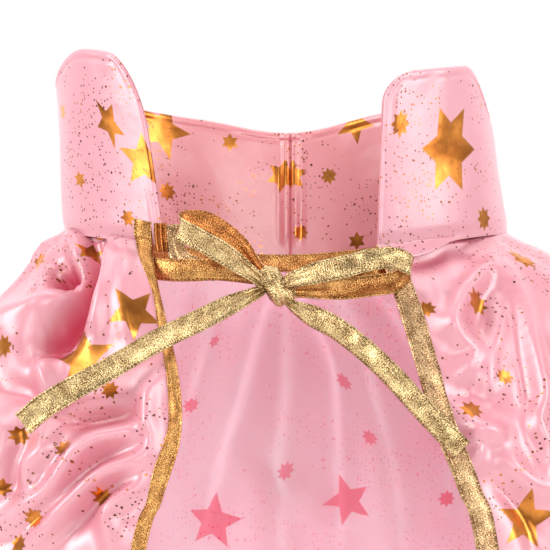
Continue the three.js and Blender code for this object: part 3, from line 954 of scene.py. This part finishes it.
def make_world():
    """White backdrop for the camera, and a softer studio for light and reflections."""
    world = bpy.data.worlds.new("studio")
    bpy.context.scene.world = world
    world.use_nodes = True
    tree = world.node_tree
    back = tree.nodes["Background"]
    path = tree.nodes.new("ShaderNodeLightPath")
    direction = node(tree, "TexCoord", output=0)
    _, y, z = parts_of(tree, direction)
    overhead = between(tree, z, 0.1, 0.9, 0.0, 0.3)
    in_front = between(tree, y, -0.98, -0.75, 0.05, 0.35)
    behind = between(tree, y, -0.3, 0.6, 0.0, 1.3)
    studio = calc(tree, "ADD", overhead, calc(tree, "ADD", in_front, behind))
    strength = blend_shares(tree, path.outputs["Is Camera Ray"], studio, 1.0)
    plug(tree, back, {"Color": (1, 1, 1, 1), "Strength": strength})


FLOOR_HALF_WIDTH = 3.0
FLOOR_GAP = 0.012  # between the hem and the floor


def make_floor():
    half = FLOOR_HALF_WIDTH
    level = CAD_BOX[0][2] - FLOOR_GAP
    mesh = bpy.data.meshes.new("floor")
    corners = [(-half, -half, level), (half, -half, level), (half, half, level), (-half, half, level)]
    mesh.from_pydata(corners, [], [(0, 1, 2, 3)])
    floor = bpy.data.objects.new("floor", mesh)
    bpy.context.scene.collection.objects.link(floor)
    material, tree, shader = new_material("pale_floor")
    plug(tree, shader, {"Base Color": linear(236, 236, 234), "Roughness": 0.7})
    mesh.materials.append(material)


# -------- pieces


def on_drape(piece):
    """Bakes the piece's placement into its mesh."""
    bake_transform(piece)


def stand_for(part):
    """Hides the CAD part that the piece replaces."""
    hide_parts(part)


def make_panels():
    """The hanging cloth. Returns the points of each panel."""
    panels = {
        "left_front": (front_panel("left"), LEFT_PANEL_STARS, True),
        "right_front": (front_panel("right"), RIGHT_PANEL_STARS, True),
        "back": (back_panel(), BACK_INSIDE_STARS, False),
    }
    for name, ((points, pattern, depth), stars, outside_seen) in panels.items():
        placed = place_stars(points, pattern, stars, facing_front(points, outside_seen))
        outside = printed_satin(f"{name}_satin", placed)
        inside = wrong_side(f"{name}_wrong_side", placed)
        piece = grid_mesh(f"{name}_cloth", points, pattern, outside, SATIN_THICKNESS, inside, depth=depth)
        on_drape(piece)
        stand_for(f"{name}_panel")
    return {name: shape[0] for name, (shape, _, _) in panels.items()}


EDGE_COLUMNS = 60  # columns of cloth that a front tape needs
HEM_ROWS = 12
TAPE_TOP = {"left": 9, "right": 0}  # how far each front tape runs up over the collar
FRONT_TAPE_WIDTH = {
    # width that shows, by distance down the edge
    "left": [(-3, 8.6), (28, 3.2), (50, 5), (85, 5.5), (105, 7.5), (125, 6)],
    "right": [(0, 10)],
}


def make_bindings(panels, golds):
    for side in SIGN:
        cloth = panels[f"{side}_front"][:EDGE_COLUMNS]
        rises = np.arange(TAPE_TOP[side], 0, -1.0)
        above = cloth[:, :1] + rises[:, None] * UP
        points = np.concatenate([above, cloth], axis=1)
        height = np.concatenate([rises, -cloth_rows()])
        clear = 1.5 * smooth(height, -5, 1) * (TAPE_TOP[side] > 0)
        width = through(FRONT_TAPE_WIDTH[side], -height)
        grid, pattern = folded_tape(points, outward_normals(points), width, clear)
        piece = grid_mesh(f"{side}_front_tape", grid, pattern, golds[side])
        on_drape(piece)
        stand_for(f"{side}_front_binding")
    around = np.concatenate([panels["left_front"], panels["back"][1:-1], panels["right_front"][::-1]])
    rows = around[:, -HEM_ROWS:][:, ::-1].transpose(1, 0, 2)
    grid, pattern = folded_tape(rows, outward_normals(rows))
    piece = grid_mesh("hem_tape", grid, pattern, golds["right"])
    on_drape(piece)
    stand_for("hem_binding")


SEAM_REACH = 6  # a lining's stars may lie this far past the back seam
LINING_SHIFT = 0.3  # sets the linings' print apart at the back seam


def make_collar():
    lobes = {"left": LEFT_LOBE_STARS, "right": RIGHT_LOBE_STARS}
    for side, sign in SIGN.items():
        half = [s for s in INNER_COLLAR_STARS if s[0] * sign > -SEAM_REACH]
        # painted shade: the collar's inside takes the shaded copy of the pink
        layers = [
            (1, "face", "outer", lobes[side], OUTER_PINK, "star_satin"),
            (-1, "lining", "inner", half, SHADED_LINING_PINK, "satin_facing"),
        ]
        for face, name, part, stars, pinks, slot in layers:
            points, pattern = collar_half(side, face)
            pattern = pattern * [sign, 1] + [LINING_SHIFT * sign * (face < 0), 0]
            placed = place_stars(points, pattern, stars, facing_front(points, outside=face > 0))
            satin = printed_satin(f"{side}_collar_{part}_satin", placed, NOWHERE, pinks)
            piece = grid_mesh(f"{side}_collar_{name}", points, pattern, satin, SATIN_THICKNESS, facing=face)
            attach(piece, "collar")
            stand_for(f"{side}_collar_{part}")


# Where the neck tape's left end is turned down towards the tie, as a ribbon route
NECK_TAPE_END = [
    (-47, -56, 12, 1, 0, 0, 0.85), (-46.3, -57.5, 5, 1, 0, 0.05, 0.85),
    (-44.5, -59.5, -1.5, 0.9, 0, 0.35, 0.85), (-40.5, -61.5, -6, 0.5, 0, 0.8, 0.9),
    (-34, -62.5, -8.5, 0.1, 0, 1, 0.9), (-27, -63.5, -10, 0, 0, 1, 0.9),
]
# and its fold round the collar's front corner, coloured with the shaded gold as painted shade
NECK_TAPE_FOLD = [
    (-52.5, -58.6, 12.5, 1, 0, 0, 0.55), (-52.3, -59, 6, 1, 0, 0, 0.55),
    (-51.5, -59.4, -1, 1, 0, 0, 0.5),
]
NECK_TAPE_RUN = (-1, 0.972)  # from the left front edge to just short of the right one
NECK_TAPE_RISE = (-0.02, 0.105)  # its edges, as shares of the collar's height
NECK_TAPE_LIFT = 2.35  # off the middle of the collar
TAPE_THICKNESS = 0.4


def make_neck_tape(seam_gold, end_gold, fold_shaded_gold):
    u, t = np.meshgrid(np.linspace(*NECK_TAPE_RUN, 221), np.linspace(*NECK_TAPE_RISE, 11), indexing="ij")
    left, right = (collar_surface(side, np.abs(u), t)[0] for side in SIGN)
    middle = np.where(u[..., None] < 0, left, right)
    normal = outward_normals(middle)
    s = np.linspace(-1, 1, 11)
    run = run_along(middle[:, 5])
    lift = NECK_TAPE_LIFT + 0.3 * (1 - s**2) + 0.12 * np.sin(run / 2.9 + np.sin(run / 7))[:, None]
    points = middle - normal * lift[..., None]
    pattern = tape_pattern(run, len(s)).transpose(1, 0, 2)
    ends, end_pattern = ribbon(NECK_TAPE_END, 60, camber=0.3)
    fold, fold_pattern = ribbon(NECK_TAPE_FOLD, 24, camber=0.2)
    # painted shade: the seam tape takes the half-shaded gold, and the fold round the collar's corner the
    # shaded gold
    pieces = [
        grid_mesh("neck_seam_tape", points, pattern, seam_gold, TAPE_THICKNESS, facing=-1),
        grid_mesh("neck_tape_end", ends, end_pattern, end_gold, TAPE_THICKNESS),
        grid_mesh("neck_tape_fold", fold, fold_pattern, fold_shaded_gold, TAPE_THICKNESS),
    ]
    for piece in pieces:
        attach(piece, "collar")
        stand_for("neck_tape")


# Ribbon routes: X, Y and Z, the direction across, and the share of the full width
LEFT_STRAP = [
    (-56, -57, -8, 0.1, 0, 1, 1), (-50, -60.5, -9, 0, 0, 1, 1), (-45, -63, -9.5, 0, 0, 1, 1),
    (-37, -64, -9.5, 0, 0, 1, 1), (-25, -65, -9.5, 0, 0, 1, 0.95), (-9.4, -66.5, -12, 0, 0, 1, 0.8),
    (-5, -67, -14, 0, 0, 1, 0.6),
]
RIGHT_STRAP = [
    (57, -56, -5, -0.1, 0, 1, 1), (51, -60, -7, 0, 0, 1, 1), (45.5, -63, -9, 0, 0, 1, 1),
    (37, -64.5, -14, 0, 0, 1, 1), (24, -65.5, -17, 0, 0, 1, 0.95), (8.6, -66.5, -18, 0, 0, 1, 0.8),
    (5, -67, -18, 0, 0, 1, 0.6),
]
LEFT_LOOP = [
    (-5, -74, -16, 0, 0, 1, 0.5), (-9.4, -75.5, -12.5, 0.2, -0.3, 1, 0.62),
    (-22, -79.5, -4, 0.4, -0.5, 1, 1), (-33, -80.5, 2.5, 0.4, -0.4, 1, 1),
    (-41.5, -78, 7, 0.3, -0.2, 1, 1), (-43.8, -74.5, 9.5, 0.25, 0, 1, 1),
    (-40, -70.5, 12, 0.25, 0.2, 1, 1), (-30, -69, 11.5, 0.35, 0.3, 1, 1),
    (-17, -69.5, 2, 0.5, 0.2, 1, 0.9), (-9.4, -70.5, -7, 0.4, 0, 1, 0.6), (-5, -70, -12, 0, 0, 1, 0.5),
]
RIGHT_LOOP = [
    (5, -74.5, -16, 0, 0, 1, 0.6), (8.6, -75.5, -14.5, 0, 0, 1, 0.75), (18, -79, -12, 0, 0.2, 1, 1),
    (30, -81.5, -9.5, -0.1, 0.3, 1, 1.05), (44, -82.5, -6, 0, 0.2, 1, 1),
    (54, -81.5, -5.5, 0.1, 0, 1, 0.95), (60, -77.5, -9, 0.15, 0, 1, 0.95),
    (55, -73, -15, 0.1, 0.1, 1, 0.95), (43, -72, -17, 0.1, 0.2, 1, 1),
    (28, -71.5, -18.5, 0, 0, 1, 0.95), (8.6, -71, -19, 0, 0, 1, 0.6), (5, -70.5, -19, 0, 0, 1, 0.5),
]
LEFT_TAIL = [
    (-5, -72, -18.5, 0, 0, 1, 0.4), (-8.8, -73, -20.5, 0, 0, 1, 0.55), (-20.5, -75, -26, 0, 0, 1, 0.9),
    (-34, -77, -33, 0, 0, 1, 1), (-52, -85, -42.3, 0, 0, 1, 1), (-70.5, -90.5, -53.5, 0, 0, 1, 1),
    (-88.5, -92, -63.5, 0, 0, 1, 1.06), (-102.5, -91, -72, 0, 0, 1, 1.12),
    (-111.5, -89, -79.5, 0, 0, 1, 1.12),
]
RIGHT_TAIL = [
    (5.5, -73.5, -24, 0, 0, 1, 0.4), (9.5, -74.5, -27, 0, 0, 1, 0.58), (17, -76, -31, 0, 0, 1, 0.95),
    (29.5, -80, -38, 0, 0, 1, 1), (47.5, -87, -53.5, 0, 0, 1, 1), (66, -93, -74, 0, 0, 1, 1),
    (82, -97, -91, 0, 0, 1, 1),
]
# Piece, route, stations along it, body, and the CAD part it replaces
RIBBONS = [
    ("left_strap_ribbon", LEFT_STRAP, 70, "collar", "left_tie_strap"),
    ("right_strap_ribbon", RIGHT_STRAP, 70, "collar", "right_tie_strap"),
    ("left_loop_ribbon", LEFT_LOOP, 160, "left_loop", "left_bow_loop"),
    ("right_loop_ribbon", RIGHT_LOOP, 190, "right_loop", "right_bow_loop"),
    ("left_tail_ribbon", LEFT_TAIL, 200, "left_tail", "left_bow_tail"),
    ("right_tail_ribbon", RIGHT_TAIL, 190, "right_tail", "right_bow_tail"),
]
RIBBON_THICKNESS = 0.45


def make_ribbons(gold, shaded, half_shaded_copy):
    for name, route, stations, body, part in RIBBONS:
        points, pattern = ribbon(route, stations)
        # painted shade: the left loop's inner face takes the shaded gold, the right loop's inner face and
        # the straps the half-shaded gold
        inner = {"left_loop_ribbon": shaded, "right_loop_ribbon": half_shaded_copy}.get(name, gold)
        outer = half_shaded_copy if "strap" in name else gold
        piece = grid_mesh(name, points, pattern, outer, RIBBON_THICKNESS, inner)
        piece.modifiers["thickness"].offset = 0
        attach(piece, body)
        stand_for(part)


KNOT_HALF_SIZE = (7, 4.3, 9.6)  # along, in depth and in height
KNOT_TILT = math.radians(-12)


def make_knot(gold):
    """Ribbon wrapped once round the crossing and drawn tight."""
    half_length, half_depth, half_height = KNOT_HALF_SIZE
    s, turn = np.meshgrid(np.linspace(-1, 1, 33), np.linspace(0, 2 * math.pi, 97), indexing="ij")
    tuck = np.sqrt(1 - np.abs(s) ** 3 * 0.9)
    crease = 0.35 * np.sin(s * 8 + np.sin(turn) * 1.5) + 0.2 * np.sin(s * 17 + turn)
    x = s * half_length * (1 - 0.12 * np.cos(turn) ** 2) - 2.6 * np.sin(turn)
    y = -(half_depth + crease) * tuck * np.cos(turn)
    z = (half_height + crease) * tuck * np.sin(turn)
    tilted_x = x * math.cos(KNOT_TILT) + z * math.sin(KNOT_TILT)
    tilted_z = z * math.cos(KNOT_TILT) - x * math.sin(KNOT_TILT)
    points = np.stack([tilted_x, y, tilted_z], axis=-1)
    low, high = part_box("bow_knot")
    centre = (np.array(low) + np.array(high)) / 2 / MM
    pattern = np.stack([(s + 1) * TAPE_WIDTH / 2, turn * 8], axis=-1)
    piece = grid_mesh("knot_wrap", points + centre, pattern, gold)
    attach(piece, "collar")
    stand_for("bow_knot")


make_camera()
make_world()
for box in SOFT_BOXES:
    soft_box(*box)
make_floor()

gold_tape = gold_lame("gold_tape", (112, 70, 36), (242, 202, 152))
gold_ribbon = gold_lame("gold_ribbon", (104, 68, 32), (255, 224, 164))
# painted shade: a darker, more orange copy of the ribbon gold for ribbon that lies in shade
shaded_gold = gold_lame("gold_ribbon_painted_shade", (124, 64, 28), (236, 156, 86))
# painted shade: a half-shaded, more orange copy of the tape gold for tape and ribbon partly in shade
half_shaded_gold = gold_lame("gold_tape_painted_half_shade", (124, 70, 30), (246, 186, 112))
cloth_panels = make_panels()
# painted shade: the left front tape takes the half-shaded gold, the right one the plain tape gold
make_bindings(cloth_panels, {"left": half_shaded_gold, "right": gold_tape})
make_collar()
make_neck_tape(half_shaded_gold, gold_tape, shaded_gold)
make_ribbons(gold_ribbon, shaded_gold, half_shaded_gold)
make_knot(gold_ribbon)

felt = interfacing()
for side_name in SIGN:
    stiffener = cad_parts[f"{side_name}_collar_stiffener"]
    stiffener.data.materials.clear()
    stiffener.data.materials.append(felt)

bpy.context.scene.view_settings.view_transform = "Standard"
